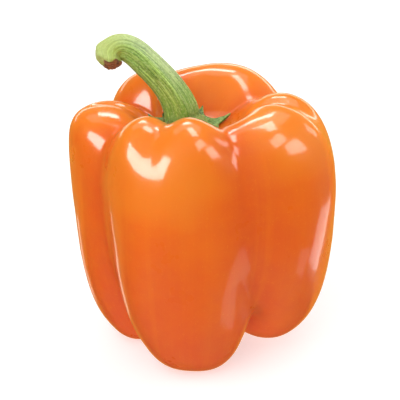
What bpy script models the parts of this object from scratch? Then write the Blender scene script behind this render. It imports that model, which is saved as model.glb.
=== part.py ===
"""An orange bell pepper standing on the blunt ends of its lobes, with its calyx and curved stem.

Run it with: blender --background --python part.py
It makes two closed solids: the fruit, and the stem with the calyx that it grew with.
Lengths are in millimetres until the meshes are made. The origin is on the resting plane, under the
middle of the object's box. A heading is an angle round the upright axis, in degrees: 0 is -Y, the
side that shows its broadest lobe, and headings grow towards +X.
"""

from collections import namedtuple

import bpy
import numpy as np

MM = 0.001

# How finely the solids are cut up
FRUIT_COLUMNS = 92
FRUIT_RINGS = 41
STEM_COLUMNS = 48
SHARP_ANGLE = 50.0

# Colours as linear RGB
FRUIT_COLOUR = (0.86, 0.18, 0.022)
FRUIT_ROUGHNESS = 0.28
STEM_COLOUR = (0.33, 0.45, 0.11)
STEM_ROUGHNESS = 0.6

# The line down the middle of a plain lobe, from the axis inside the top hollow, over the crest, down
# the side and under the base to the axis again, as (distance from the axis, height)
LOBE_LINE = (
    (0.0, 77.0),
    (6.0, 76.5),
    (11.5, 76.5),
    (15.5, 79.5),
    (19.5, 88.0),
    (26.0, 93.6),
    (35.5, 92.0),
    (42.5, 82.5),
    (45.0, 66.0),
    (44.3, 46.0),
    (42.0, 27.5),
    (38.0, 12.0),
    (30.0, 0.5),
    (20.0, -1.5),
    (12.5, 4.0),
    (6.0, 9.0),
    (0.0, 9.5),
)
# The line down a plain groove between two lobes, point for point beside the lobe's line
GROOVE_LINE = (
    (0.0, 77.0),
    (6.0, 76.5),
    (11.0, 76.5),
    (14.5, 78.5),
    (18.5, 83.5),
    (24.0, 87.0),
    (32.0, 85.0),
    (37.0, 76.0),
    (38.5, 62.0),
    (38.0, 46.0),
    (35.0, 31.0),
    (30.5, 20.0),
    (24.0, 13.0),
    (17.5, 10.0),
    (12.0, 9.3),
    (6.0, 9.4),
    (0.0, 9.5),
)
LAST = len(LOBE_LINE) - 1
# Places along the lines, counted in their points
HOLLOW, CREST, SIDE, FOOT = 2.0, 5.3, 8.5, 12.5

# Each groove's heading at the crest, on the side and at the foot, and its depth there as a share of the
# plain groove's
Groove = namedtuple("Groove", "headings depths")
GROOVES = (
    Groove((-60, -57, -54), (1.0, 1.0, 1.0)),
    Groove((19, 24, 41), (0.8, 0.95, 1.1)),
    Groove((124, 116, 110), (1.1, 0.9, 0.9)),
    Groove((198, 200, 194), (0.3, 0.4, 0.5)),
    Groove((243, 238, 236), (1.2, 0.9, 0.8)),
)
# How far each lobe differs from the plain one, as (outwards, upwards) at the crest, the side and the foot
Lobe = namedtuple("Lobe", "crest side foot")
LOBES = (
    Lobe((0.0, 0.0), (0.0, 0.0), (0.0, 0.0)),
    Lobe((-1.6, -2.8), (2.2, 0.0), (1.4, 4.2)),
    Lobe((-2.4, -3.2), (0.0, 0.0), (0.0, 0.0)),
    Lobe((-3.6, -3.4), (-1.0, 0.0), (-4.5, 8.0)),
    Lobe((2.8, -7.0), (-2.2, 0.6), (-1.8, 0.0)),
)
# Shallow furrows within a lobe: heading, half width in degrees, share of the lobe's height that it takes, and
# the stretch of the lines that it runs over
Furrow = namedtuple("Furrow", "heading half_width share start deepest end")
FURROWS = (
    Furrow(-25, 12, 0.55, 2.5, 4.8, 8.5),
    Furrow(77, 8, 0.42, 2.2, 4.7, 7.6),
    Furrow(80, 10, 0.2, 4.0, 7.0, 10.5),
    Furrow(266, 6, 0.36, 3.0, 4.8, 6.7),
)
ARC_POWERS = (2.2, 2.1, 3.0)  # how boxy a lobe's cross section is at the crest, the side and the foot
VALLEY = (0.10, 0.22, 0.08)  # how softly a groove is rounded at the crest, the side and the foot

# How far the seat that the calyx lies on is off the fruit's own axis. The lines are shifted by all of it
# up to the place SEAT_END, and by less and less from there to the crest
SEAT_X, SEAT_Y = -4.5, 0.0
SEAT_END = 1.0

# Slow waves in the fruit's surface: how many go round it, their turn for each place down it, and their phase
WAVES = ((2, 0.5, 0.4), (5, 0.9, 2.1), (9, 1.6, 4.0))
WAVE_HEIGHT = 0.3
WAVES_START, WAVES_END = (4.0, 6.0), (11.0, 13.0)

# The calyx is a thin disc with teeth round its edge, which lies over the bottom of the hollow
CALYX_RADIUS = 10.2
CALYX_THICK = 1.5
CALYX_EDGE_THICK = 0.9
CALYX_GAP = 0.35
TOOTH_LENGTHS = (2.0, 2.6, 5.2, 3.8, 2.4, 3.2, 2.2, 2.8)
TOOTH_POWER = 1.6
TOOTH_LIFT = 0.08  # how far a tooth's tip stands off the fruit, for each millimetre of its length
FLARE_HEIGHT = 3.6  # how far up the stem the calyx draws in to it
FLARE_WIDTH = 2.8
LEAN = -1.9  # how far in x the flare leans, to meet the stem that leaves at a slant
CALYX_RADII = (0.1, 0.22, 0.36, 0.52, 0.7, 0.88, 1.0)  # rings of its top, as shares of the way to its edge
UNDER_RADII = (0.75, 0.5, 0.25)  # rings of its underside, as shares of the way out from its middle
SEAT_POINTS = 60  # how finely the hollow under it is followed

# The stem's middle line, from the calyx up and over to the left, round to the cut end near the front
STEM_PATH = (
    (-6.4, 0.0, 81.6),
    (-6.6, 0.0, 84.2),
    (-8.7, 0.0, 89.2),
    (-12.6, 0.3, 94.6),
    (-16.8, 0.7, 98.8),
    (-20.2, 1.3, 102.2),
    (-23.0, 1.7, 104.0),
    (-25.5, 1.7, 104.8),
    (-27.7, 1.3, 104.3),
    (-29.2, 0.3, 103.0),
    (-29.7, -0.9, 101.6),
    (-29.3, -2.0, 100.4),
)
# Its radius at each of those points
STEM_RADII = (6.0, 5.6, 5.0, 4.6, 4.5, 4.4, 4.2, 4.0, 4.0, 4.1, 4.2, 4.1)
MID_RADIUS = 4.5  # the radius that the ridges are worked out for
STEM_RINGS = 29
TURN_SPAN = 5  # a ring is square to the stem's run over this many rings to each side
STEM_RIDGES = 5
RIDGE_HEIGHT = 0.3
RIDGE_TURN = 20.0
# The end's rounded edge and slightly dished scar, as (share of the stem's radius, height past the last ring)
CUT_PROFILE = ((0.0, 0.8), (0.35, 0.95), (0.68, 1.2), (0.86, 0.95), (0.96, 0.5))


def smoothstep(value, start, end):
    x = np.clip((value - start) / (end - start), 0.0, 1.0)
    return x * x * (3.0 - 2.0 * x)


def hump(value, start, top, end):
    """0 at start and end, 1 at top, and smooth between."""
    return np.where(value < top, smoothstep(value, start, top), 1.0 - smoothstep(value, top, end))


def spline(points, place):
    """A smooth curve that follows a run of (distance, height) points, level where it meets the axis."""
    points = np.asarray(points, float)
    mirror = [-1.0, 1.0]
    padded = np.vstack([points[1] * mirror, points, points[-2] * mirror])
    first = np.clip(np.floor(place).astype(int), 0, len(points) - 2)
    f = (place - first)[:, None]
    return (
        (1 - f) ** 3 * padded[first]
        + (3 * f**3 - 6 * f**2 + 4) * padded[first + 1]
        + (-3 * f**3 + 3 * f**2 + 3 * f + 1) * padded[first + 2]
        + f**3 * padded[first + 3]
    ) / 6


def along(values, place):
    """Three values, for the crest, the side and the foot, spread smoothly over the places."""
    crest, side, foot = values
    to_side = smoothstep(place, CREST, SIDE)
    to_foot = smoothstep(place, SIDE, FOOT)
    return crest + (side - crest) * to_side + (foot - side) * to_foot


def lobe_shift(lobe, place):
    """How far a lobe's line lies from the plain one, as (outwards, upwards) at each place."""
    weights = (
        hump(place, HOLLOW, CREST, SIDE),
        hump(place, CREST, SIDE, FOOT),
        hump(place, SIDE, FOOT, LAST),
    )
    return sum(w[:, None] * np.array(shift) for w, shift in zip(weights, lobe))


def wave(angle, place):
    """The slow waves in the surface, which fade out in the hollow and under the base."""
    total = sum(np.sin(count * angle + turn * place + phase) for count, turn, phase in WAVES)
    return WAVE_HEIGHT * total * smoothstep(place, *WAVES_START) * (1.0 - smoothstep(place, *WAVES_END))


def fruit_skin(columns, place):
    """The fruit's skin as an array of points, one row for each column and one point for each place.

    A column is (number of its lobe, share of the way across it).
    """
    lobe_line = spline(LOBE_LINE, place)
    groove_line = spline(GROOVE_LINE, place)
    shifts = [lobe_shift(lobe, place) for lobe in LOBES]
    crowns = [lobe_line + shift for shift in shifts]
    count = len(LOBES)
    valleys = []
    headings = []
    for number, groove in enumerate(GROOVES):
        depth = along(groove.depths, place)[:, None]
        beside = (shifts[number - 1] + shifts[number]) / 2
        valleys.append(lobe_line + beside + depth * (groove_line - lobe_line))
        headings.append(along(groove.headings, place))
    softness = along(VALLEY, place)
    power = along(ARC_POWERS, place)
    skin = []
    for number, share in columns:
        after = (number + 1) % count
        turn = 360.0 if after == 0 else 0.0
        start, end = headings[number], headings[after] + turn
        heading = start + share * (end - start)
        across = smoothstep(share, 0.0, 1.0)
        valley = valleys[number] * (1 - across) + valleys[after] * across
        from_groove = 1.0 - abs(2.0 * share - 1.0)
        rounded = np.sqrt(from_groove**2 + softness**2) - softness
        rounded /= np.sqrt(1.0 + softness**2) - softness
        height = 1.0 - (1.0 - rounded) ** power
        for furrow in FURROWS:
            off = (heading - furrow.heading + 180.0) % 360.0 - 180.0
            dent = furrow.share * np.exp(-((off / furrow.half_width) ** 2))
            height = height * (1.0 - dent * hump(place, furrow.start, furrow.deepest, furrow.end))
        line = valley + height[:, None] * (crowns[number] - valley)
        angle = np.radians(heading)
        line[:, 0] += wave(angle, place)
        to_seat = 1.0 - smoothstep(place, SEAT_END, CREST)
        skin.append(
            np.stack(
                [
                    line[:, 0] * np.sin(angle) + SEAT_X * to_seat,
                    -line[:, 0] * np.cos(angle) + SEAT_Y * to_seat,
                    np.maximum(line[:, 1], 0.0),
                ],
                axis=1,
            )
        )
    return np.array(skin)


def lobe_columns(total):
    """The columns round the fruit, shared among the lobes by width, with one in each groove."""
    columns = []
    for number in range(len(LOBES)):
        after = (number + 1) % len(LOBES)
        turn = 360.0 if after == 0 else 0.0
        width = GROOVES[after].headings[1] + turn - GROOVES[number].headings[1]
        count = round(total * width / 360.0)
        columns += [(number, step / count) for step in range(count)]
    return columns


def open_spline(points, count):
    """Count points along a smooth curve that follows the run of points and reaches both its ends."""
    points = np.asarray(points, float)
    padded = np.vstack([2 * points[0] - points[1], points, 2 * points[-1] - points[-2]])
    place = np.linspace(0.0, len(points) - 1.0, count)
    first = np.clip(np.floor(place).astype(int), 0, len(points) - 2)
    f = (place - first)[:, None]
    return (
        (1 - f) ** 3 * padded[first]
        + (3 * f**3 - 6 * f**2 + 4) * padded[first + 1]
        + (-3 * f**3 + 3 * f**2 + 3 * f + 1) * padded[first + 2]
        + f**3 * padded[first + 3]
    ) / 6


def unit(vectors):
    return vectors / np.linalg.norm(vectors, axis=-1, keepdims=True)


def stem_rings(heading):
    """The stem's rings, from the middle of the cut end down to the calyx."""
    path = open_spline(STEM_PATH, STEM_RINGS)
    radii = open_spline(np.array(STEM_RADII)[:, None], STEM_RINGS)
    run = np.gradient(path, axis=0)
    numbers = np.arange(STEM_RINGS)[:, None] + np.arange(-TURN_SPAN, TURN_SPAN + 1)
    ahead = unit(run[np.clip(numbers, 0, STEM_RINGS - 1)].sum(axis=1))
    angle = np.radians(heading)[:, None]
    ridged = 1.0 + RIDGE_HEIGHT / MID_RADIUS * np.cos(STEM_RIDGES * (angle - np.radians(RIDGE_TURN)))
    side = np.array([1.0, 0.0, 0.0])
    rings = []
    for centre, radius, onward in zip(path, radii, ahead):
        side = unit(side - (side @ onward) * onward)
        back = np.cross(onward, side)
        rings.append(centre + radius * ridged * (np.sin(angle) * side - np.cos(angle) * back))
    ends = [path[-1] + share * (rings[-1] - path[-1]) + out * ahead[-1] for share, out in CUT_PROFILE]
    return ends + rings[::-1]


def calyx_edge(heading):
    """The calyx's radius at each heading: a disc with pointed teeth of different lengths."""
    turn = heading / 360.0 * len(TOOTH_LENGTHS)
    tooth = np.floor(turn).astype(int) % len(TOOTH_LENGTHS)
    from_tip = np.abs(2.0 * (turn % 1.0) - 1.0)
    return CALYX_RADIUS + np.array(TOOTH_LENGTHS)[tooth] * (1.0 - from_tip) ** TOOTH_POWER


def calyx_rings(heading):
    """The calyx's rings, from the foot of the stem out to the edge and back under to the middle."""
    angle = np.radians(heading)
    root = STEM_RADII[0]
    edge = calyx_edge(heading)
    reach = np.linspace(0.0, CREST, SEAT_POINTS)
    seat = fruit_skin(hollow_columns(heading), reach) - (SEAT_X, SEAT_Y, 0.0)

    def ring(radius, thick, lean=0.0):
        heights = []
        slopes = []
        for out, line in zip(radius, seat):
            across = np.hypot(line[:, 0], line[:, 1])
            heights.append(np.interp(out, across, line[:, 2]))
            slopes.append(np.interp(out, across, np.gradient(line[:, 2], across)))
        lift = CALYX_GAP + TOOTH_LIFT * np.maximum(radius - CALYX_RADIUS, 0.0) + thick
        height = np.array(heights) + lift * np.hypot(1.0, slopes)
        x = SEAT_X + lean + radius * np.sin(angle)
        return np.stack([x, SEAT_Y - radius * np.cos(angle), height], axis=1)

    rings = []
    for share in CALYX_RADII:
        radius = root + share * (edge - root)
        flare = np.maximum(1.0 - (radius - root) / FLARE_WIDTH, 0.0) ** 2
        thick = CALYX_THICK + share * (CALYX_EDGE_THICK - CALYX_THICK) + FLARE_HEIGHT * flare
        rings.append(ring(radius, thick, LEAN * flare))
    rings.append(ring(edge, 0.0))
    rings += [ring(edge * share, 0.0) for share in UNDER_RADII]
    rings.append(ring(edge * 0.0, 0.0))
    return rings


def hollow_columns(heading):
    """The fruit's columns that run out from the seat at these headings, as the hollow has them."""
    columns = []
    starts = [groove.headings[0] for groove in GROOVES]
    for value in heading:
        turned = [(value - start) % 360.0 for start in starts]
        number = int(np.argmin(turned))
        width = (starts[(number + 1) % len(starts)] - starts[number]) % 360.0
        columns.append((number, turned[number] / width))
    return columns


def stem_skin(columns):
    """The skin of the stem and calyx as an array of points, one row for each column."""
    heading = np.arange(columns) * 360.0 / columns
    return np.array(stem_rings(heading) + calyx_rings(heading)).transpose(1, 0, 2)


def add_solid(name, skin, colour, roughness):
    """A closed, smooth-shaded object from a skin whose first and last points are the same in every row."""
    rows, count = skin.shape[:2]
    rings = count - 2
    points = np.vstack([skin[0, 0], skin[:, 1:-1].reshape(-1, 3), skin[0, -1]]) * MM
    last = len(points) - 1
    faces = []
    for row in range(rows):
        here = 1 + row * rings
        beside = 1 + (row + 1) % rows * rings
        faces.append((0, here, beside))
        faces.append((last, beside + rings - 1, here + rings - 1))
        for ring in range(rings - 1):
            faces.append((here + ring, here + ring + 1, beside + ring + 1, beside + ring))
    mesh = bpy.data.meshes.new(name)
    mesh.from_pydata(points.tolist(), [], faces)
    mesh.validate()
    mesh.shade_smooth()
    material = bpy.data.materials.new(name)
    material.use_nodes = True
    shader = material.node_tree.nodes["Principled BSDF"]
    shader.inputs["Base Color"].default_value = (*colour, 1.0)
    shader.inputs["Roughness"].default_value = roughness
    shader.inputs["Metallic"].default_value = 0.0
    mesh.materials.append(material)
    made = bpy.data.objects.new(name, mesh)
    bpy.context.scene.collection.objects.link(made)
    return made


def main():
    for old in list(bpy.data.objects):
        bpy.data.objects.remove(old)
    fruit = fruit_skin(lobe_columns(FRUIT_COLUMNS), np.linspace(0.0, LAST, FRUIT_RINGS + 2))
    stem = stem_skin(STEM_COLUMNS)
    middle = (fruit.max(axis=(0, 1)) + fruit.min(axis=(0, 1))) / 2
    middle[2] = 0.0
    add_solid("fruit", fruit - middle, FRUIT_COLOUR, FRUIT_ROUGHNESS)
    cut = add_solid("stem_with_calyx", stem - middle, STEM_COLOUR, STEM_ROUGHNESS)
    cut.data.set_sharp_from_angle(angle=np.radians(SHARP_ANGLE))


main()
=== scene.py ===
"""The looks of an orange bell pepper: its glossy skin, its green stem and calyx, the light and the camera.

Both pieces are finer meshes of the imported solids' own forms, with the relief that the solids leave out.
Lengths are in millimetres for the pieces and the camera, and in metres for the lights and the floor.
A heading is an angle round the upright axis, in degrees: 0 is -Y, the side that faces the camera, and
headings grow towards +X. A place is a number along a line of points, counted in its points.
"""

from collections import namedtuple

import bpy
import numpy as np
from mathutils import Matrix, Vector

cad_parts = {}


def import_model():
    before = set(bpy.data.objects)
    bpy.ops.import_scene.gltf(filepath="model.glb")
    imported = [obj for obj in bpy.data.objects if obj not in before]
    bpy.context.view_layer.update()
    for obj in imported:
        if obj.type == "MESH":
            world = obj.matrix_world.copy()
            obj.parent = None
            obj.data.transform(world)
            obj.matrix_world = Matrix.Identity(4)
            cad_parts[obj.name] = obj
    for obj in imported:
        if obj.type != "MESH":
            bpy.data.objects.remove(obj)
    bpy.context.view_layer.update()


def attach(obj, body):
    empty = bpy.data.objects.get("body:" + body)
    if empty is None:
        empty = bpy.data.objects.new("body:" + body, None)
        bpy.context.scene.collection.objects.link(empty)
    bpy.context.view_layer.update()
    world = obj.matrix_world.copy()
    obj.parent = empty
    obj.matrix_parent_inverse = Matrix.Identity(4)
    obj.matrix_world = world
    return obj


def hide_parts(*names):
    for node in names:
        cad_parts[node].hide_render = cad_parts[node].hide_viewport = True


MM = 0.001

# How finely the pieces are cut up
FRUIT_COLUMNS = 300
FRUIT_PLACES = 200
STEM_COLUMNS = 144
COARSE_COLUMNS = 92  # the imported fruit's own, whose box gives the middle of the frame
COARSE_PLACES = 43

# The fruit's plain lobe line and plain groove line, from the axis inside the top hollow, over the crest,
# down the side and under the base to the axis again, as (distance from the axis, height)
LOBE_LINE = (
    (0.0, 77.0),
    (6.0, 76.5),
    (11.5, 76.5),
    (15.5, 79.5),
    (19.5, 88.0),
    (26.0, 93.6),
    (35.5, 92.0),
    (42.5, 82.5),
    (45.0, 66.0),
    (44.3, 46.0),
    (42.0, 27.5),
    (38.0, 12.0),
    (30.0, 0.5),
    (20.0, -1.5),
    (12.5, 4.0),
    (6.0, 9.0),
    (0.0, 9.5),
)
GROOVE_LINE = (
    (0.0, 77.0),
    (6.0, 76.5),
    (11.0, 76.5),
    (14.5, 78.5),
    (18.5, 83.5),
    (24.0, 87.0),
    (32.0, 85.0),
    (37.0, 76.0),
    (38.5, 62.0),
    (38.0, 46.0),
    (35.0, 31.0),
    (30.5, 20.0),
    (24.0, 13.0),
    (17.5, 10.0),
    (12.0, 9.3),
    (6.0, 9.4),
    (0.0, 9.5),
)
LAST = len(LOBE_LINE) - 1
# Places along these lines
HOLLOW, CREST, SIDE, FOOT = 2.0, 5.3, 8.5, 12.5

# Each groove's heading at the crest, on the side and at the foot, and its depth there as a share of the
# plain groove's
Groove = namedtuple("Groove", "headings depths")
GROOVES = (
    Groove((-60, -57, -54), (1.0, 1.0, 1.0)),
    Groove((19, 24, 41), (0.8, 0.95, 1.1)),
    Groove((124, 116, 110), (1.1, 0.9, 0.9)),
    Groove((198, 200, 194), (0.3, 0.4, 0.5)),
    Groove((243, 238, 236), (1.2, 0.9, 0.8)),
)
# How far each lobe differs from the plain one, as (outwards, upwards) at the crest, the side and the foot
Lobe = namedtuple("Lobe", "crest side foot")
LOBES = (
    Lobe((0.0, 0.0), (0.0, 0.0), (0.0, 0.0)),
    Lobe((-1.6, -2.8), (2.2, 0.0), (1.4, 4.2)),
    Lobe((-2.4, -3.2), (0.0, 0.0), (0.0, 0.0)),
    Lobe((-3.6, -3.4), (-1.0, 0.0), (-4.5, 8.0)),
    Lobe((2.8, -7.0), (-2.2, 0.6), (-1.8, 0.0)),
)
# Shallow furrows within a lobe: heading, half width in degrees, share of the lobe's height that it takes,
# and the places that it runs over
Furrow = namedtuple("Furrow", "heading half_width share start deepest end")
FURROWS = (
    Furrow(-25, 12, 0.55, 2.5, 4.8, 8.5),
    Furrow(77, 8, 0.42, 2.2, 4.7, 7.6),
    Furrow(80, 10, 0.2, 4.0, 7.0, 10.5),
    Furrow(266, 6, 0.36, 3.0, 4.8, 6.7),
)
ARC_POWERS = (2.2, 2.1, 3.0)  # how boxy a lobe's cross section is at the crest, the side and the foot
VALLEY = (0.10, 0.22, 0.08)  # how softly a groove is rounded at the crest, the side and the foot

# How far the seat that the calyx lies on is off the fruit's own axis. The lines are shifted by all of it
# up to the place SEAT_END, and by less and less from there to the crest
SEAT_X, SEAT_Y = -4.5, 0.0
SEAT_END = 1.0

# Slow waves in the surface: how many go round it, their turn for each place down it, and their phase
WAVES = ((2, 0.5, 0.4), (5, 0.9, 2.1), (9, 1.6, 4.0))
WAVE_HEIGHT = 0.3
WAVES_START, WAVES_END = (4.0, 6.0), (11.0, 13.0)

# The skin's fine relief: wide uneven swells and small dimples, and the places where both start and end
SWELL_HEIGHT, SWELL_LENGTH, SWELL_SEED = 0.16, 26.0, 11
DIMPLE_HEIGHT, DIMPLE_LENGTH, DIMPLE_SEED = 0.035, 8.0, 12
RELIEF_START, RELIEF_END = (3.4, 5.0), (11.5, 12.6)
# Creases that run down into the hollow, the length over which they bend, and the places that they run over
CREASE_HEIGHT, CREASE_COUNT = 0.12, 13
CREASE_BEND_LENGTH, CREASE_SEED = 30.0, 13
CREASE_PLACES = (2.6, 4.0, 5.4)
# A shallow dent in the front lobe's crest: heading, half width in degrees, depth, and its places
Dent = namedtuple("Dent", "heading half_width depth start deepest end")
DENT = Dent(-24, 5.5, 0.65, 5.0, 6.3, 8.0)
# A random field's number of waves, and the fewest and the most hills that one has on the field's length
RIPPLE_WAVES = 24
RIPPLE_HILLS = (0.7, 1.4)
TINY = 1e-9  # stands in for a length of nothing, where something is divided by it

# The places where the hollow's painted shade fades out, and the place from which the scar under the base is
# measured
HOLLOW_FADE = (2.2, 4.4)
BASE_START = 13.0

# The calyx is a thin disc with teeth round its edge, which lies over the bottom of the hollow
CALYX_RADIUS = 10.2
CALYX_THICK = 1.5
CALYX_EDGE_THICK = 0.9
CALYX_GAP = 0.35
TOOTH_LENGTHS = (2.0, 2.6, 5.2, 3.8, 2.4, 3.2, 2.2, 2.8)
TOOTH_POWER = 3.2  # how slender the teeth are
TOOTH_LIFT = 0.05  # how far a tooth's tip stands off the fruit, for each millimetre of its length
FLARE_HEIGHT = 3.6  # how far up the stem the calyx draws in to it
FLARE_WIDTH = 2.8
LEAN = -1.9  # how far in x the flare leans, to meet the stem that leaves at a slant
CALYX_RINGS = 36
EDGE_RINGS = 6
UNDER_RINGS = 10
SEAT_POINTS = 90  # how finely the hollow under it is followed
# Its veins and lumps, and where they start and end as shares of the way to its edge
VEIN_HEIGHT, VEIN_PHASE = 0.28, 0.6
VEIN_SHARES = (0.05, 0.5, 1.0)
LUMP_HEIGHT, LUMP_LENGTH, LUMP_SEED = 0.26, 1.6, 41
LUMPS_START, LUMPS_END = (0.1, 0.4), (0.85, 1.0)

# The stem's middle line, from the calyx up and over to the left, round to the cut end near the front
STEM_PATH = (
    (-6.4, 0.0, 81.6),
    (-6.6, 0.0, 84.2),
    (-8.7, 0.0, 89.2),
    (-12.6, 0.3, 94.6),
    (-16.8, 0.7, 98.8),
    (-20.2, 1.3, 102.2),
    (-23.0, 1.7, 104.0),
    (-25.5, 1.7, 104.8),
    (-27.7, 1.3, 104.3),
    (-29.2, 0.3, 103.0),
    (-29.7, -0.9, 101.6),
    (-29.3, -2.0, 100.4),
)
# Its radius at each of those points
STEM_RADII = (6.0, 5.6, 5.0, 4.6, 4.5, 4.4, 4.2, 4.0, 4.0, 4.1, 4.2, 4.1)
MID_RADIUS = 4.5  # the radius that the ridges are worked out for
COARSE_RINGS, COARSE_SPAN = 29, 5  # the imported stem's own
FINER = 7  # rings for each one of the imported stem
STEM_RINGS = (COARSE_RINGS - 1) * FINER + 1
TURN_SPAN = COARSE_SPAN * FINER  # a ring is square to the stem's run over this many rings to each side
STEM_RIDGES = 5
RIDGE_HEIGHT = 0.3
RIDGE_TURN = 20.0
# Fine ribs along the stem: how many go round it, height, how far they wander in radians, and phase
RIBS = ((11, 0.07, 1.05, 0.7), (19, 0.05, 2.1, 2.9), (31, 0.03, 2.7, 1.3))
WANDER_LENGTH = 7.0  # how far along the stem goes with one radian of their wandering
RIBS_START = (0.0, 3.0)  # how far from the stem's foot they start and are full

# The cut end from its middle to its rim, as (share of the way out, height over the rim)
CUT_PROFILE = ((0.0, 0.8), (0.35, 0.95), (0.68, 1.2), (0.86, 0.95), (0.96, 0.5), (1.0, 0.0))
CUT_RINGS = 26
# The end's left side is rounded off, and its scar keeps to the other side. Sides are counted from the end's
# middle, as shares of its radius: ROUNDED_SIDE to the left, and the scar's to the right
END_ROUNDING = 2.6
END_LENGTH = 6.0
ROUNDED_SIDE = (-0.1, 1.0)
SCAR_SIDE = np.array([1.0, 0.0, -0.2])
SCAR_START = (-0.6, -0.2)
SCAR_REACH, SCAR_SPILL = 0.78, 0.40  # how far out it goes, and how much further where it runs over the rim
SPILL_SIDE = (0.1, 0.7)
SCAR_EDGE = 0.12  # how softly its edge fades, as a share of the radius
# The scar's relief, and where it starts and ends as shares of the way out
CORK_HEIGHT, CORK_LENGTH, CORK_SEED = 0.16, 1.3, 31
CORK_START, CORK_END = (0.0, 0.2), (0.8, 1.0)

# Heights over the stem's foot where the calyx's colour turns into the stem's, and lengths before its end
# where the end's colour starts and is full
CALYX_FADE = (-1.0, 3.0)
KNOB_START, KNOB_FULL = 14.0, 3.0

# Noises, as (hills for each metre, detail, roughness)
SKIN_NOISES = {
    "patches": (28.0, 2.0, 0.5),
    "smudge": (60.0, 4.0, 0.6),
    "mottle": (130.0, 4.0, 0.6),
    "peel": (420.0, 3.0, 0.5),
    "speckle": (1700.0, 2.0, 0.5),
}
STEM_NOISES = {
    "ragged": (500.0, 3.0, 0.5),
    "crumbs": (900.0, 5.0, 0.7),
    "blotch": (950.0, 4.0, 0.6),
    "speck": (1500.0, 2.0, 0.5),
}
# Noises that follow a piece's own run, as (hills across, across and along it, detail, roughness). The fruit's
# run is 1 long and 1 wide from its middle, and the stem's run is in millimetres
SKIN_RUN_NOISES = {
    "streak": ((17.0, 17.0, 1.6), 4.0, 0.6),
}
STEM_RUN_NOISES = {
    "fibre": ((2.3, 2.3, 0.065), 4.0, 0.62),
    "fine": ((5.5, 5.5, 0.30), 3.0, 0.6),
    "pits": ((0.8, 0.8, 0.35), 4.0, 0.7),
    "grain": ((2.2, 2.2, 0.9), 4.0, 0.7),
}
NOISE_RANGE = (0.3, 0.7)  # where nearly all of a noise's values lie

# Layers of colour, each laid over those before it: the pattern that it follows, the pattern's values where
# the layer starts and ends, its strength at each, its colour as linear red, green and blue, and the pattern
# that keeps it within a part of the piece. The skin's height is in metres over the ground, and the
# stem's side is in millimetres to the right of its middle line
Layer = namedtuple("Layer", "pattern low high at_low at_high colour within", defaults=[None])
SKIN_COLOUR = (0.77, 0.098, 0.017)
SKIN_LAYERS = (
    # Lighter and yellower upwards and over the top: partly the skin's own tone, partly painted light where
    # the top is lit
    Layer("height", 0.012, 0.078, 0.0, 1.0, (0.88, 0.170, 0.015)),
    Layer("height", 0.066, 0.090, 0.0, 1.0, (0.905, 0.235, 0.022)),
    # Painted shade: darker and redder down in the grooves between the lobes
    Layer("raised", 0.0, 0.62, 0.55, 0.0, (0.70, 0.074, 0.016)),
    # Painted shade: darker and redder in the top hollow round the stem
    Layer("hollow", 0.1, 1.0, 0.0, 0.4, (0.76, 0.075, 0.004)),
    Layer("mottle", 0.35, 0.65, 0.0, 0.16, (0.93, 0.215, 0.006)),
    Layer("streak", 0.5, 0.72, 0.0, 0.14, (0.94, 0.24, 0.012)),
    Layer("speckle", 0.62, 0.74, 0.0, 0.18, (0.98, 0.36, 0.03)),
    Layer("base", 0.72, 0.9, 0.0, 1.0, (0.17, 0.075, 0.03)),
)
HEIGHT_DRIFT = 0.014  # how far up or down the skin's height drifts in its patches
STEM_COLOUR = (0.09, 0.245, 0.016)
STEM_LAYERS = (
    Layer("fibre", 0.38, 0.62, 0.0, 1.0, (0.49, 0.74, 0.145)),
    Layer("fine", 0.50, 0.64, 0.0, 0.5, (0.58, 0.74, 0.27)),
    Layer("fine", 0.34, 0.44, 0.5, 0.0, (0.09, 0.20, 0.015)),
    # Painted shade: darker green along the underside of the stem's arch
    Layer("side", -4.4, -1.2, 0.55, 0.0, (0.095, 0.27, 0.012)),
    # Painted sheen: a pale grey band along the top of the stem's arch
    Layer("side", 1.8, 4.3, 0.0, 1.0, (0.62, 0.70, 0.44), "upper"),
    Layer("rib", -0.13, 0.0, 0.32, 0.0, (0.13, 0.24, 0.028)),
    Layer("pits", 0.59, 0.68, 0.0, 0.7, (0.085, 0.125, 0.015)),
    Layer("speck", 0.54, 0.68, 0.0, 0.30, (0.64, 0.77, 0.33)),
    Layer("speck", 0.34, 0.46, 0.35, 0.0, (0.10, 0.23, 0.02)),
    Layer("grain", 0.42, 0.56, 0.0, 1.0, (0.11, 0.33, 0.014), "lower"),
    Layer("knob", 0.0, 1.0, 0.0, 0.6, (0.52, 0.60, 0.11)),
    # Painted shade: brownish olive on the underside of the stem's curled end
    Layer("side", -4.4, -1.5, 0.75, 0.0, (0.20, 0.22, 0.028), "knob"),
    Layer("calyx", 0.0, 1.0, 0.0, 0.72, (0.085, 0.21, 0.018)),
    Layer("blotch", 0.50, 0.64, 0.0, 0.75, (0.36, 0.48, 0.12), "calyx"),
    Layer("blotch", 0.36, 0.46, 0.75, 0.0, (0.035, 0.075, 0.012), "calyx"),
)
# The stem's upper part, which keeps the painted sheen to the arch, and its lower part, as millimetres along
# it where each starts and ends, and the part's strength at both
UPPER_PART = (7.0, 17.0, 0.05, 0.5)
LOWER_PART = (1.0, 13.0, 0.85, 0.0)
CORK_COLOUR = (0.085, 0.035, 0.014)
CORK_LAYERS = (
    Layer("crumbs", 0.35, 0.65, 0.0, 1.0, (0.42, 0.17, 0.062)),
)
SCAR_RAGGED = 0.3  # how far the scar's edge is broken up
SCAR_COVER = (0.3, 0.7)  # the scar's values where the cork starts and covers all

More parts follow.
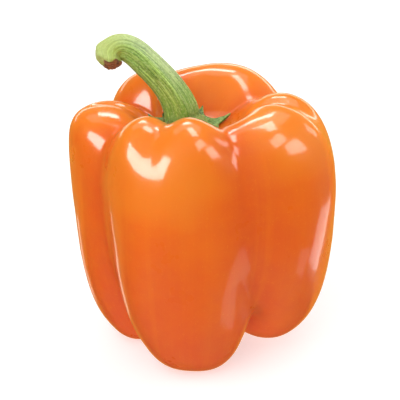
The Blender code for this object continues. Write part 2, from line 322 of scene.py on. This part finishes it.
# Roughness where its noise is low and high, and bumps as (pattern, distance in metres, strength)
SKIN_ROUGHNESS = (0.26, 0.36)
STEM_ROUGHNESS = (0.62, 0.42)
SKIN_BUMPS = (("peel", 0.0004, 0.06), ("speckle", 0.0002, 0.06))
STEM_BUMPS = (("fine", 0.0005, 0.35), ("pits", 0.0006, 0.25), ("blotch", 0.0006, 0.2))
SKIN_SHADER = {
    "IOR": 1.36,
    "Specular IOR Level": 0.2,
    "Subsurface Weight": 0.18,
    "Subsurface Radius": (1.0, 0.22, 0.06),
    "Subsurface Scale": 0.005,
    "Coat Weight": 0.8,
    "Coat Roughness": 0.11,
    "Coat IOR": 1.45,
}
STEM_SHADER = {
    "IOR": 1.42,
    "Subsurface Weight": 0.12,
    "Subsurface Radius": (0.5, 1.0, 0.2),
    "Subsurface Scale": 0.0015,
    "Sheen Weight": 0.12,
    "Sheen Roughness": 0.45,
}
FLOOR_SHADER = {
    "Base Color": (0.62, 0.62, 0.62, 1.0),
    "Roughness": 0.9,
    "Specular IOR Level": 0.0,
    "Emission Color": (1.0, 1.0, 1.0, 1.0),
}
# The colour sockets of a mixing node, whose names its other sockets share
MIX_FIRST, MIX_SECOND, MIX_RESULT = 6, 7, 2

# The lights: name, heading, elevation, width and height in degrees as the pepper sees them, and brightness.
# The boxes are what the skin mirrors. The fills are large and soft, and light the pepper evenly. The low
# ones shine through the floor, in place of the light that a pale table throws back
SOFTBOXES = (
    ("key", -59, 22.5, 28, 24, 16.0),
    ("overhead_back", -179, 49.5, 19, 10, 13.0),
    ("overhead_mid", -174, 62, 62, 28, 1.45),
    ("overhead_top", 127, 73, 26, 17, 12.0),
    ("right", 75, 28, 18, 16, 7.6),
    ("right_high", 62, 50, 24, 18, 7.0),
    ("right_far", 119, 24, 12, 14, 3.6),
    ("behind", -176, 7, 84, 6, 3.3),
    ("low_right", 106, -30, 30, 16, 2.4),
    ("low_front", 72, -37, 18, 14, 1.0),
    ("low_left", -145, -33, 8, 12, 1.1),
)
FILLS = (
    ("fill_key", -42, 42, 80, 60, 1.52),
    ("fill_front", -12, 5, 90, 60, 0.58),
    ("fill_right", 106, 10, 60, 60, 2.05),
    ("fill_below", 0, -75, 90, 70, 1.8),
    ("fill_top", 10, 78, 70, 70, 1.0),
    ("fill_back", 180, 20, 90, 60, 1.3),
)
# A wide warm light low behind the pepper, that only its edges mirror
RIM = ("rim", 180, -8, 130, 90, 0.70)
RIM_COLOUR = (1.0, 0.42, 0.02)
LIGHT_DISTANCE = 0.9
LIGHT_AIM = 0.055  # the height on the pepper that the lights face
SURROUND = 0.09
SURROUND_COLOUR = (1.0, 0.76, 0.42)

FLOOR_RADIUS = 1.6
SWEEP_RADIUS = 0.8
SWEEP_STEPS = 12
WALL_HEIGHT = 3.0
FLOOR_SIDES = 96
# The floor's glow, as (near, far, strength near, strength far), grows out where the fills end
FLOOR_GLOW = (0.35, 0.85, 0.52, 1.0)

# The camera stands where the photograph was taken from
CAMERA_TARGET = (0.0, 0.0, 50.0)
CAMERA_ELEVATION = 25.0
CAMERA_DISTANCE = 550.0
CAMERA_CLIP = 10.0
PIXELS_PER_MM = 2.98
PICTURE_WIDTH = 400
SENSOR_WIDTH = 36.0
TARGET_BELOW_MIDDLE = 2.5  # pixels


def smoothstep(value, start, end):
    x = np.clip((value - start) / (end - start), 0.0, 1.0)
    return x * x * (3.0 - 2.0 * x)


def hump(value, start, top, end):
    """0 at start and end, 1 at top, and smooth between."""
    return np.where(value < top, smoothstep(value, start, top), 1.0 - smoothstep(value, top, end))


def beside(heading, middle, half_width):
    """1 at the middle heading, and fading to both sides of it by the half width."""
    off = (heading - middle + 180.0) % 360.0 - 180.0
    return np.exp(-((off / half_width) ** 2))


def unit(vectors):
    return vectors / np.linalg.norm(vectors, axis=-1, keepdims=True)


def blend_four(padded, place, count):
    """The cubic B-spline that follows a padded run of points, at each place along it."""
    first = np.clip(np.floor(place).astype(int), 0, count - 2)
    f = (place - first)[:, None]
    return (
        (1 - f) ** 3 * padded[first]
        + (3 * f**3 - 6 * f**2 + 4) * padded[first + 1]
        + (-3 * f**3 + 3 * f**2 + 3 * f + 1) * padded[first + 2]
        + f**3 * padded[first + 3]
    ) / 6


def spline(points, place):
    """A smooth curve that follows a run of (distance, height) points, level where it meets the axis."""
    points = np.asarray(points, float)
    mirror = [-1.0, 1.0]
    padded = np.vstack([points[1] * mirror, points, points[-2] * mirror])
    return blend_four(padded, place, len(points))


def open_spline(points, count):
    """Count points along a smooth curve that follows the run of points and reaches both its ends."""
    points = np.asarray(points, float)
    padded = np.vstack([2 * points[0] - points[1], points, 2 * points[-1] - points[-2]])
    return blend_four(padded, np.linspace(0.0, len(points) - 1.0, count), len(points))


def along(values, place):
    """Three values, for the crest, the side and the foot, spread smoothly over the places."""
    crest, side, foot = values
    to_side = smoothstep(place, CREST, SIDE)
    to_foot = smoothstep(place, SIDE, FOOT)
    return crest + (side - crest) * to_side + (foot - side) * to_foot


def lobe_shift(lobe, place):
    """How far a lobe's line lies from the plain one, as (outwards, upwards) at each place."""
    weights = (
        hump(place, HOLLOW, CREST, SIDE),
        hump(place, CREST, SIDE, FOOT),
        hump(place, SIDE, FOOT, LAST),
    )
    return sum(w[:, None] * np.array(shift) for w, shift in zip(weights, lobe))


def wave(angle, place):
    """The slow waves in the surface, which fade out in the hollow and under the base."""
    total = sum(np.sin(count * angle + turn * place + phase) for count, turn, phase in WAVES)
    return WAVE_HEIGHT * total * smoothstep(place, *WAVES_START) * (1.0 - smoothstep(place, *WAVES_END))


def next_groove(number):
    """The groove on a lobe's far side, and the full turn that its heading takes where the round closes."""
    after = (number + 1) % len(GROOVES)
    return after, 360.0 if after == 0 else 0.0


def lobe_height(share, heading, place):
    """How far up from the groove towards the crown a column lies, from 0 to 1 at each place."""
    softness = along(VALLEY, place)
    from_groove = 1.0 - abs(2.0 * share - 1.0)
    rounded = np.sqrt(from_groove**2 + softness**2) - softness
    rounded /= np.sqrt(1.0 + softness**2) - softness
    height = 1.0 - (1.0 - rounded) ** along(ARC_POWERS, place)
    for furrow in FURROWS:
        sunk = furrow.share * beside(heading, furrow.heading, furrow.half_width)
        height = height * (1.0 - sunk * hump(place, furrow.start, furrow.deepest, furrow.end))
    return height


def fruit_skin(columns, place):
    """The fruit's skin as rows of points, and how far up from the groove towards the crown each lies."""
    lobe_line = spline(LOBE_LINE, place)
    groove_line = spline(GROOVE_LINE, place)
    shifts = [lobe_shift(lobe, place) for lobe in LOBES]
    crowns = [lobe_line + shift for shift in shifts]
    valleys = []
    headings = []
    for number, groove in enumerate(GROOVES):
        depth = along(groove.depths, place)[:, None]
        between_lobes = (shifts[number - 1] + shifts[number]) / 2
        valleys.append(lobe_line + between_lobes + depth * (groove_line - lobe_line))
        headings.append(along(groove.headings, place))
    to_seat = 1.0 - smoothstep(place, SEAT_END, CREST)
    skin = []
    raised = []
    for number, share in columns:
        after, turn = next_groove(number)
        start, end = headings[number], headings[after] + turn
        heading = start + share * (end - start)
        across = smoothstep(share, 0.0, 1.0)
        valley = valleys[number] * (1 - across) + valleys[after] * across
        height = lobe_height(share, heading, place)
        line = valley + height[:, None] * (crowns[number] - valley)
        angle = np.radians(heading)
        line[:, 0] += wave(angle, place)
        x = line[:, 0] * np.sin(angle) + SEAT_X * to_seat
        y = -line[:, 0] * np.cos(angle) + SEAT_Y * to_seat
        skin.append(np.stack([x, y, np.maximum(line[:, 1], 0.0)], axis=1))
        raised.append(height)
    return np.array(skin), np.array(raised)


def lobe_columns(total):
    """The columns round the fruit, shared among the lobes by width, with one in each groove."""
    columns = []
    for number in range(len(LOBES)):
        after, turn = next_groove(number)
        width = GROOVES[after].headings[1] + turn - GROOVES[number].headings[1]
        count = round(total * width / 360.0)
        columns += [(number, step / count) for step in range(count)]
    return columns


def hollow_columns(heading):
    """The fruit's columns that run out from the seat at these headings, as the hollow has them."""
    columns = []
    starts = [groove.headings[0] for groove in GROOVES]
    for value in heading:
        turned = [(value - start) % 360.0 for start in starts]
        number = int(np.argmin(turned))
        width = (starts[(number + 1) % len(starts)] - starts[number]) % 360.0
        columns.append((number, turned[number] / width))
    return columns


def frame_middle():
    """What is taken off every point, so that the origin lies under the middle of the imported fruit's box."""
    skin, _ = fruit_skin(lobe_columns(COARSE_COLUMNS), np.linspace(0.0, LAST, COARSE_PLACES))
    middle = (skin.max(axis=(0, 1)) + skin.min(axis=(0, 1))) / 2
    middle[2] = 0.0
    return middle


def ripple(points, length, seed):
    """A smooth random field over the points, about -1 to 1, with its hills about a length apart."""
    random = np.random.default_rng(seed)
    directions = unit(random.normal(size=(RIPPLE_WAVES, 3)))
    phases = random.uniform(0.0, 2 * np.pi, RIPPLE_WAVES)
    stretches = random.uniform(*RIPPLE_HILLS, RIPPLE_WAVES)
    total = sum(
        np.sin(2 * np.pi / length * stretch * (points @ direction) + phase)
        for direction, phase, stretch in zip(directions, phases, stretches)
    )
    return total / np.sqrt(2.0 * RIPPLE_WAVES)


def skin_normals(skin):
    """Which way each point of a skin of rows faces, and nothing where a row's end meets all the others."""
    around = np.roll(skin, -1, axis=0) - np.roll(skin, 1, axis=0)
    down = np.gradient(skin, axis=1)
    normal = np.cross(down, around)
    length = np.linalg.norm(normal, axis=-1, keepdims=True)
    return normal / np.maximum(length, TINY)


def add_piece(name, skin, values):
    """A closed smooth mesh from a skin whose first and last points are the same in every row.

    Values are named numbers or vectors for every point of the skin, kept for the material to read.
    """
    rows, count = skin.shape[:2]
    rings = count - 2

    def flat(grid):
        inner = grid[:, 1:-1].reshape(rows * rings, -1)
        return np.vstack([grid[0, 0].reshape(1, -1), inner, grid[0, -1].reshape(1, -1)])

    points = flat(skin) * MM
    last = len(points) - 1
    faces = []
    for row in range(rows):
        here = 1 + row * rings
        next_row = 1 + (row + 1) % rows * rings
        faces.append((0, here, next_row))
        faces.append((last, next_row + rings - 1, here + rings - 1))
        for ring in range(rings - 1):
            faces.append((here + ring, here + ring + 1, next_row + ring + 1, next_row + ring))
    mesh = bpy.data.meshes.new(name)
    mesh.from_pydata(points.tolist(), [], faces)
    mesh.validate()
    mesh.shade_smooth()
    for key, grid in values.items():
        kind, field = ("FLOAT_VECTOR", "vector") if grid.ndim == 3 else ("FLOAT", "value")
        kept = mesh.attributes.new(key, kind, "POINT")
        kept.data.foreach_set(field, flat(grid).astype(np.float32).ravel())
    piece = bpy.data.objects.new(name, mesh)
    bpy.context.scene.collection.objects.link(piece)
    return piece


def seat_angle(skin):
    """The heading of each point as seen from the middle of the calyx's seat, in radians."""
    return np.arctan2(skin[..., 0] - SEAT_X, SEAT_Y - skin[..., 1])


def fruit_relief(skin, place):
    """How far the fine relief stands out from the fruit's plain skin."""
    swell = SWELL_HEIGHT * ripple(skin, SWELL_LENGTH, SWELL_SEED)
    dimple = DIMPLE_HEIGHT * ripple(skin, DIMPLE_LENGTH, DIMPLE_SEED)
    open_skin = smoothstep(place, *RELIEF_START) * (1.0 - smoothstep(place, *RELIEF_END))
    bend = ripple(skin, CREASE_BEND_LENGTH, CREASE_SEED)
    crease = CREASE_HEIGHT * np.sin(CREASE_COUNT * seat_angle(skin) + bend)
    relief = (swell + dimple) * open_skin + crease * hump(place, *CREASE_PLACES)
    heading = np.degrees(np.arctan2(skin[..., 0], -skin[..., 1]))
    sunk = DENT.depth * beside(heading, DENT.heading, DENT.half_width)
    return relief - sunk * hump(place, DENT.start, DENT.deepest, DENT.end)


def add_fruit(middle):
    """The fruit's skin with its fine relief."""
    place = np.linspace(0.0, LAST, FRUIT_PLACES)
    skin, raised = fruit_skin(lobe_columns(FRUIT_COLUMNS), place)
    angle = seat_angle(skin)
    down = np.broadcast_to(place / LAST, raised.shape)
    values = {
        "raised": raised,
        "hollow": np.broadcast_to(1.0 - smoothstep(place, *HOLLOW_FADE), raised.shape),
        "run": np.stack([np.sin(angle), np.cos(angle), down], axis=-1),
        "base": np.broadcast_to(smoothstep(place, BASE_START, LAST), raised.shape),
    }
    skin = skin + fruit_relief(skin, place)[..., None] * skin_normals(skin)
    return add_piece("pepper_skin", skin - middle, values)


def stem_frames():
    """The middle, radius, direction and two square directions of each of the stem's rings."""
    path = open_spline(STEM_PATH, STEM_RINGS)
    radii = open_spline(np.array(STEM_RADII)[:, None], STEM_RINGS)[:, 0]
    run = np.gradient(path, axis=0)
    numbers = np.arange(STEM_RINGS)[:, None] + np.arange(-TURN_SPAN, TURN_SPAN + 1)
    ahead = unit(run[np.clip(numbers, 0, STEM_RINGS - 1)].sum(axis=1))
    side = np.array([1.0, 0.0, 0.0])
    sides = []
    for onward in ahead:
        side = unit(side - (side @ onward) * onward)
        sides.append(side)
    sides = np.array(sides)
    return path, radii, ahead, sides, np.cross(ahead, sides)


def stem_ribs(angle, travelled):
    """The height of the fine ribs at each angle round the stem and length along it."""
    rib = np.zeros((len(angle), len(travelled)))
    for count, height, wander, phase in RIBS:
        wandered = wander * np.sin(travelled / WANDER_LENGTH + phase)
        rib += height * np.cos(count * angle + wandered + phase)
    return rib


def end_rounding(side):
    """How far back the stem's end is rounded off at each side of its middle."""
    return END_ROUNDING * smoothstep(-side, *ROUNDED_SIDE)


def cork_relief(cut, share):
    """How far the scar's cork-like relief stands out from the cut end."""
    spread = smoothstep(share, *CORK_START) * (1.0 - smoothstep(share, *CORK_END))
    return CORK_HEIGHT * ripple(cut, CORK_LENGTH, CORK_SEED) * spread


def scar_cover(share, side):
    """How much of the scar there is on the cut end, from 0 to 1."""
    reach = SCAR_REACH + SCAR_SPILL * smoothstep(side, *SPILL_SIDE)
    inside = 1.0 - smoothstep(share - reach, -SCAR_EDGE, SCAR_EDGE)
    return inside * smoothstep(side, *SCAR_START)


def stem_tube(heading):
    """The stem from the middle of its cut end down to the calyx, and its values: rows of rings."""
    path, radii, ahead, sides, backs = stem_frames()
    angle = np.radians(heading)[:, None]
    travelled = np.concatenate([[0.0], np.cumsum(np.linalg.norm(np.diff(path, axis=0), axis=1))])
    ridged = 1.0 + RIDGE_HEIGHT / MID_RADIUS * np.cos(STEM_RIDGES * (angle - np.radians(RIDGE_TURN)))
    rib = stem_ribs(angle, travelled)
    out = np.sin(angle)[..., None] * sides - np.cos(angle)[..., None] * backs
    reach = radii * ridged + rib * smoothstep(travelled, *RIBS_START)
    tube = path + reach[..., None] * out

    end, onward = path[-1], ahead[-1]
    share, rise = open_spline(CUT_PROFILE, CUT_RINGS)[:-1].T
    cut = end + share[:, None] * (tube[:, -1:] - end) + rise[:, None] * onward
    right = unit(SCAR_SIDE - (SCAR_SIDE @ onward) * onward)
    tube_side = (tube - end) @ right / radii[-1]
    cut_side = (cut - end) @ right / radii[-1]
    near_end = smoothstep(travelled, travelled[-1] - END_LENGTH, travelled[-1])
    tube = tube - (near_end * end_rounding(tube_side))[..., None] * onward
    cut = cut - end_rounding(cut_side)[..., None] * onward
    cut = cut + cork_relief(cut, share)[..., None] * onward

    skin = np.concatenate([cut, tube[:, ::-1]], axis=1)
    height = np.concatenate([np.full(len(share), travelled[-1]), travelled[::-1]])
    scar = np.concatenate([scar_cover(share, cut_side), np.zeros(rib.shape)], axis=1)
    rib = np.concatenate([rib[:, -1:] * share, rib[:, ::-1]], axis=1)
    return skin, rib, height, scar


def calyx_edge(heading):
    """The calyx's radius at each heading: a disc with pointed teeth of different lengths."""
    turn = heading / 360.0 * len(TOOTH_LENGTHS)
    tooth = np.floor(turn).astype(int) % len(TOOTH_LENGTHS)
    from_tip = np.abs(2.0 * (turn % 1.0) - 1.0)
    return CALYX_RADIUS + np.array(TOOTH_LENGTHS)[tooth] * (1.0 - from_tip) ** TOOTH_POWER


def calyx_ring(angle, seat, radius, thick, lean=0.0):
    """A ring of points over the seat's lines, that far out at each angle and that thick above the gap."""
    heights = []
    slopes = []
    for out, line in zip(radius, seat):
        across = np.hypot(line[:, 0], line[:, 1])
        heights.append(np.interp(out, across, line[:, 2]))
        slopes.append(np.interp(out, across, np.gradient(line[:, 2], across)))
    past = np.maximum(radius - CALYX_RADIUS, 0.0)
    lift = CALYX_GAP + TOOTH_LIFT * past + thick
    height = np.array(heights) + lift * np.hypot(1.0, slopes)
    x = SEAT_X + lean + radius * np.sin(angle)
    return np.stack([x, SEAT_Y - radius * np.cos(angle), height], axis=1)


def calyx_disc(heading):
    """The calyx from the foot of the stem out over its edge and back under it to the middle."""
    angle = np.radians(heading)
    root = STEM_RADII[0]
    edge = calyx_edge(heading)
    seat, _ = fruit_skin(hollow_columns(heading), np.linspace(0.0, CREST, SEAT_POINTS))
    seat = seat - (SEAT_X, SEAT_Y, 0.0)
    rings = []
    for share in np.linspace(0.0, 1.0, CALYX_RINGS)[1:]:
        radius = root + share * (edge - root)
        flare = np.maximum(1.0 - (radius - root) / FLARE_WIDTH, 0.0) ** 2
        thick = CALYX_THICK + share * (CALYX_EDGE_THICK - CALYX_THICK) + FLARE_HEIGHT * flare
        vein = VEIN_HEIGHT * np.cos(2 * STEM_RIDGES * angle + VEIN_PHASE) * hump(share, *VEIN_SHARES)
        made = calyx_ring(angle, seat, radius, thick + vein, LEAN * flare)
        spread = smoothstep(share, *LUMPS_START) * (1.0 - smoothstep(share, *LUMPS_END))
        made[:, 2] += LUMP_HEIGHT * ripple(made, LUMP_LENGTH, LUMP_SEED) * spread
        rings.append(made)
    for step in range(1, EDGE_RINGS + 1):
        turn = np.pi * step / EDGE_RINGS
        radius = edge + CALYX_EDGE_THICK / 2 * np.sin(turn)
        rings.append(calyx_ring(angle, seat, radius, CALYX_EDGE_THICK * (1.0 + np.cos(turn)) / 2))
    for share in np.linspace(1.0, 0.0, UNDER_RINGS)[1:]:
        rings.append(calyx_ring(angle, seat, edge * share, 0.0))
    return np.array(rings).transpose(1, 0, 2)


def add_stem(middle):
    """The stem, its scar and the calyx as one grown piece."""
    heading = np.arange(STEM_COLUMNS) * 360.0 / STEM_COLUMNS
    angle = np.radians(heading)[:, None]
    tube, rib, height, scar = stem_tube(heading)
    disc = calyx_disc(heading)
    skin = np.concatenate([tube, disc], axis=1)
    size = skin.shape[:2]
    plain = np.zeros(disc.shape[:2])
    # On the calyx, how far out a point lies counts as how far below the stem's foot it is
    below = STEM_RADII[0] - np.linalg.norm(disc[..., :2] - (SEAT_X, SEAT_Y), axis=-1)
    up = np.concatenate([np.broadcast_to(height, tube.shape[:2]), below], axis=1)
    right = np.broadcast_to(MID_RADIUS * np.sin(angle), size)
    front = np.broadcast_to(MID_RADIUS * np.cos(angle), size)
    values = {
        "rib": np.concatenate([rib, plain], axis=1),
        "scar": np.concatenate([scar, plain], axis=1),
        "calyx": 1.0 - smoothstep(up, *CALYX_FADE),
        "knob": smoothstep(up, height.max() - KNOB_START, height.max() - KNOB_FULL),
        "run": np.stack([right, front, up], axis=-1),
    }
    return add_piece("pepper_stem", skin - middle, values)


def new_material(name):
    """A material, its node tree and its shader."""
    material = bpy.data.materials.new(name)
    material.use_nodes = True
    tree = material.node_tree
    return material, tree, tree.nodes["Principled BSDF"]


def set_inputs(tree, node, inputs):
    """Gives a node its inputs, as values or as links from other nodes' outputs."""
    for key, value in inputs.items():
        if isinstance(value, bpy.types.NodeSocket):
            tree.links.new(value, node.inputs[key])
        else:
            node.inputs[key].default_value = value


def add_node(tree, kind, inputs, **settings):
    """A node with its settings and inputs."""
    node = tree.nodes.new(kind)
    for key, value in settings.items():
        setattr(node, key, value)
    set_inputs(tree, node, inputs)
    return node


def object_place(tree):
    """Where a point lies on its piece, in metres."""
    return add_node(tree, "ShaderNodeTexCoord", {}).outputs["Object"]


def kept_value(tree, name):
    return add_node(tree, "ShaderNodeAttribute", {}, attribute_name=name).outputs["Fac"]


def kept_vector(tree, name):
    return add_node(tree, "ShaderNodeAttribute", {}, attribute_name=name).outputs["Vector"]


def split(tree, vector):
    return add_node(tree, "ShaderNodeSeparateXYZ", {"Vector": vector}).outputs


def stretched(tree, vector, scale):
    inputs = {"Vector": vector, "Scale": scale}
    return add_node(tree, "ShaderNodeMapping", inputs).outputs["Vector"]


def noise(tree, vector, scale, detail, roughness):
    inputs = {"Vector": vector, "Scale": scale, "Detail": detail, "Roughness": roughness}
    return add_node(tree, "ShaderNodeTexNoise", inputs).outputs["Fac"]


def between(tree, value, low, high, to_low, to_high):
    """The value, spread from low..high to to_low..to_high and held there."""
    inputs = {"Value": value, "From Min": low, "From Max": high, "To Min": to_low, "To Max": to_high}
    return add_node(tree, "ShaderNodeMapRange", inputs, clamp=True).outputs["Result"]


def spread_noise(tree, pattern, to_low, to_high):
    """A noise, spread over all of to_low..to_high."""
    return between(tree, pattern, *NOISE_RANGE, to_low, to_high)


def math(tree, operation, first, second):
    inputs = {0: first, 1: second}
    return add_node(tree, "ShaderNodeMath", inputs, operation=operation).outputs["Value"]


def mixed(tree, share, first, second):
    """Two colours, mixed."""
    inputs = {"Factor": share}
    for socket, colour in ((MIX_FIRST, first), (MIX_SECOND, second)):
        inputs[socket] = colour if isinstance(colour, bpy.types.NodeSocket) else (*colour, 1.0)
    return add_node(tree, "ShaderNodeMix", inputs, data_type="RGBA").outputs[MIX_RESULT]


def find_patterns(tree, where, noises, run, run_noises, kept_names):
    """A material's patterns by name: noises in space, noises along the run, and the piece's kept values."""
    patterns = {name: noise(tree, where, *values) for name, values in noises.items()}
    for name, (scale, detail, roughness) in run_noises.items():
        patterns[name] = noise(tree, stretched(tree, run, scale), 1.0, detail, roughness)
    for name in kept_names:
        patterns[name] = kept_value(tree, name)
    return patterns


def layered(tree, colour, layers, patterns):
    """The colour with the layers laid over it in turn."""
    for layer in layers:
        pattern = patterns[layer.pattern]
        share = between(tree, pattern, layer.low, layer.high, layer.at_low, layer.at_high)
        if layer.within:
            share = math(tree, "MULTIPLY", patterns[layer.within], share)
        colour = mixed(tree, share, colour, layer.colour)
    return colour


def bumped(tree, bumps, patterns):
    """The direction that the surface faces once each of the bumps is on it."""
    below = {}
    for pattern, distance, strength in bumps:
        inputs = {"Height": patterns[pattern], "Distance": distance, "Strength": strength, **below}
        below = {"Normal": add_node(tree, "ShaderNodeBump", inputs).outputs["Normal"]}
    return below["Normal"]


def skin_material():
    """Waxy orange skin, faintly mottled, with a dark scar under the base: lighter and yellower upwards,
    partly its own tone and partly painted light, and darker and redder in the grooves and the hollow as
    painted shade.
    """
    material, tree, shader = new_material("pepper_skin")
    where = object_place(tree)
    run = kept_vector(tree, "run")
    patterns = find_patterns(tree, where, SKIN_NOISES, run, SKIN_RUN_NOISES, ("raised", "hollow", "base"))
    drift = spread_noise(tree, patterns["patches"], -HEIGHT_DRIFT, HEIGHT_DRIFT)
    patterns["height"] = math(tree, "ADD", split(tree, where)["Z"], drift)
    links = {
        "Base Color": layered(tree, SKIN_COLOUR, SKIN_LAYERS, patterns),
        "Roughness": spread_noise(tree, patterns["smudge"], *SKIN_ROUGHNESS),
        "Normal": bumped(tree, SKIN_BUMPS, patterns),
    }
    set_inputs(tree, shader, {**links, **SKIN_SHADER})
    return material


def stem_material():
    """Ribbed green stem: pale on its ribs, olive between them, yellower at the end, with a brown scar;
    painted sheen pales its upper side and painted shade darkens its underside.
    """
    material, tree, shader = new_material("pepper_stem")
    where = object_place(tree)
    run = kept_vector(tree, "run")
    kept_names = ("rib", "calyx", "knob", "scar")
    patterns = find_patterns(tree, where, STEM_NOISES, run, STEM_RUN_NOISES, kept_names)
    parts = split(tree, run)
    patterns["side"] = parts["X"]
    patterns["upper"] = between(tree, parts["Z"], *UPPER_PART)
    patterns["lower"] = between(tree, parts["Z"], *LOWER_PART)
    green = layered(tree, STEM_COLOUR, STEM_LAYERS, patterns)
    cork = layered(tree, CORK_COLOUR, CORK_LAYERS, patterns)
    broken = spread_noise(tree, patterns["ragged"], -SCAR_RAGGED, SCAR_RAGGED)
    scar = math(tree, "ADD", patterns["scar"], broken)
    links = {
        "Base Color": mixed(tree, between(tree, scar, *SCAR_COVER, 0.0, 1.0), green, cork),
        "Roughness": spread_noise(tree, patterns["fibre"], *STEM_ROUGHNESS),
        "Normal": bumped(tree, STEM_BUMPS, patterns),
    }
    set_inputs(tree, shader, {**links, **STEM_SHADER})
    return material


def floor_material():
    """Plain pale ground, which glows a little so that the shadow on it stays soft."""
    material, tree, shader = new_material("floor")
    where = object_place(tree)
    away = add_node(tree, "ShaderNodeVectorMath", {0: where}, operation="LENGTH").outputs["Value"]
    links = {"Emission Strength": between(tree, away, *FLOOR_GLOW)}
    set_inputs(tree, shader, {**links, **FLOOR_SHADER})
    return material


def add_floor():
    """A round floor whose edge sweeps up into a wall, so that it fills the picture from every side.

    It is seen, and takes the pepper's shadow, but throws no light back: the low lights stand for that.
    """
    rings = [(FLOOR_RADIUS, 0.0)]
    for step in range(1, SWEEP_STEPS + 1):
        turn = np.pi / 2 * step / SWEEP_STEPS
        rings.append((FLOOR_RADIUS + SWEEP_RADIUS * np.sin(turn), SWEEP_RADIUS * (1.0 - np.cos(turn))))
    rings.append((FLOOR_RADIUS + SWEEP_RADIUS, WALL_HEIGHT))
    angle = np.arange(FLOOR_SIDES) * 2 * np.pi / FLOOR_SIDES
    points = [(0.0, 0.0, 0.0)]
    for radius, height in rings:
        points += [(radius * np.cos(a), radius * np.sin(a), height) for a in angle]
    faces = []
    for side in range(FLOOR_SIDES):
        after = (side + 1) % FLOOR_SIDES
        faces.append((0, 1 + side, 1 + after))
        for ring in range(len(rings) - 1):
            here, above = 1 + ring * FLOOR_SIDES, 1 + (ring + 1) * FLOOR_SIDES
            faces.append((here + side, above + side, above + after, here + after))
    mesh = bpy.data.meshes.new("floor")
    mesh.from_pydata(points, [], faces)
    mesh.shade_smooth()
    mesh.materials.append(floor_material())
    floor = bpy.data.objects.new("floor", mesh)
    floor.visible_diffuse = False
    floor.visible_glossy = False
    floor.visible_shadow = False
    bpy.context.scene.collection.objects.link(floor)


def direction(heading, elevation):
    """The unit vector out from the object at that heading and elevation."""
    h, e = np.radians(heading), np.radians(elevation)
    return Vector((np.sin(h) * np.cos(e), -np.cos(h) * np.cos(e), np.sin(e)))


def add_light(name, heading, elevation, wide, tall, radiance):
    """A rectangular area light that faces the pepper, wide and tall in degrees as seen from it."""
    aim = Vector((0.0, 0.0, LIGHT_AIM))
    out = direction(heading, elevation)
    width = 2 * LIGHT_DISTANCE * np.tan(np.radians(wide / 2))
    height = 2 * LIGHT_DISTANCE * np.tan(np.radians(tall / 2))
    light = bpy.data.lights.new(name, "AREA")
    light.shape = "RECTANGLE"
    light.size = width
    light.size_y = height
    light.energy = radiance * np.pi * width * height
    lamp = bpy.data.objects.new(name, light)
    lamp.location = aim + LIGHT_DISTANCE * out
    lamp.rotation_euler = out.to_track_quat("Z", "Y").to_euler()
    lamp.visible_camera = False
    bpy.context.scene.collection.objects.link(lamp)
    return lamp


def add_world():
    """A dim warm surround, for what the lights leave dark."""
    world = bpy.data.worlds.new("surround")
    world.use_nodes = True
    background = world.node_tree.nodes["Background"]
    background.inputs["Color"].default_value = (*SURROUND_COLOUR, 1.0)
    background.inputs["Strength"].default_value = SURROUND
    bpy.context.scene.world = world


def add_lights():
    """The boxes and the rim light, which only gloss mirrors, and the fills, which gloss doesn't mirror."""
    for box in SOFTBOXES:
        add_light(*box).visible_diffuse = False
    for fill in FILLS:
        add_light(*fill).visible_glossy = False
    rim = add_light(*RIM)
    rim.data.color = RIM_COLOUR
    rim.visible_diffuse = False


def add_camera(middle):
    """The camera at the photograph's viewing angle."""
    data = bpy.data.cameras.new("camera")
    data.sensor_width = SENSOR_WIDTH
    data.lens = PIXELS_PER_MM * CAMERA_DISTANCE / PICTURE_WIDTH * SENSOR_WIDTH
    data.shift_y = TARGET_BELOW_MIDDLE / PICTURE_WIDTH
    data.clip_start = CAMERA_CLIP * MM
    camera = bpy.data.objects.new("camera", data)
    back = direction(0.0, CAMERA_ELEVATION)
    camera.location = (Vector(CAMERA_TARGET) - Vector(middle)) * MM + back * CAMERA_DISTANCE * MM
    camera.rotation_euler = back.to_track_quat("Z", "Y").to_euler()
    bpy.context.scene.collection.objects.link(camera)
    bpy.context.scene.camera = camera
    bpy.context.scene.view_settings.view_transform = "Standard"


def main():
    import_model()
    middle = frame_middle()

    fruit = add_fruit(middle)
    fruit.data.materials.append(skin_material())
    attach(fruit, "root")
    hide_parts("fruit")

    stem = add_stem(middle)
    stem.data.materials.append(stem_material())
    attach(stem, "root")
    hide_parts("stem_with_calyx")

    add_floor()
    add_lights()
    add_world()
    add_camera(middle)


main()
